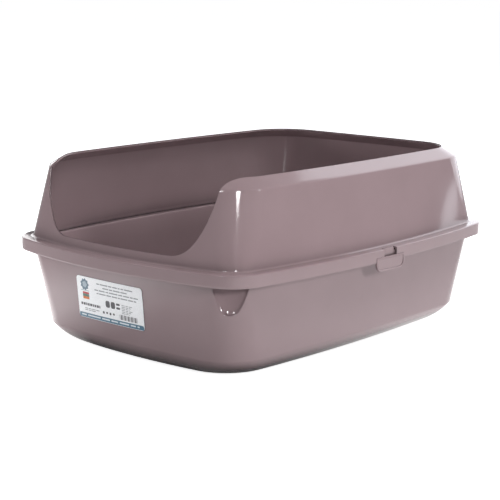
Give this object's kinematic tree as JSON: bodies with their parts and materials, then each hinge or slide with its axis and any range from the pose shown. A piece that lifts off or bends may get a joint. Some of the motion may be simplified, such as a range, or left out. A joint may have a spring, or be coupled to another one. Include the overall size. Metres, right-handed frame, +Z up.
{
  "type": "open litter tray with raised rim",
  "caption": "Deep rectangular litter tray with a high click-on rim, a low cut-away entrance at the front and flexing side clips.",
  "frame": {"origin": "on the floor, under the middle of the tray", "axes": "+X to the right seen from the front, +Y to the back along the length, +Z up; the entrance is towards -Y"},
  "size_m": [0.3816, 0.5, 0.21],
  "materials": {
    "tray_plastic": "glossy moulded polypropylene, mauve-taupe",
    "rim_plastic": "glossy moulded polypropylene, mauve-taupe",
    "label_film": "printed satin film with a blue-grey strip"
  },
  "bodies": {
    "tray": {"tray": "tray_plastic", "label": "label_film"},
    "rim": {"rim": "rim_plastic"},
    "clip_right": {"clip_right": "rim_plastic"},
    "clip_left": {"clip_left": "rim_plastic"}
  },
  "joints": [
    {"name": "rim_lift", "type": "slide", "parent": "tray", "child": "rim", "axis": [0, 0, 1], "range_m": [0, 0.1]},
    {"name": "clip_right_flex", "type": "hinge", "parent": "rim", "child": "clip_right", "pos_m": [0.1899, 0.002, 0.1106], "axis": [0, -1, 0], "range_deg": [0, 15], "stiffness_Nm_per_rad": 0.5},
    {"name": "clip_left_flex", "type": "hinge", "parent": "rim", "child": "clip_left", "pos_m": [-0.1899, 0.002, 0.1106], "axis": [0, 1, 0], "range_deg": [0, 15], "stiffness_Nm_per_rad": 0.5}
  ]
}
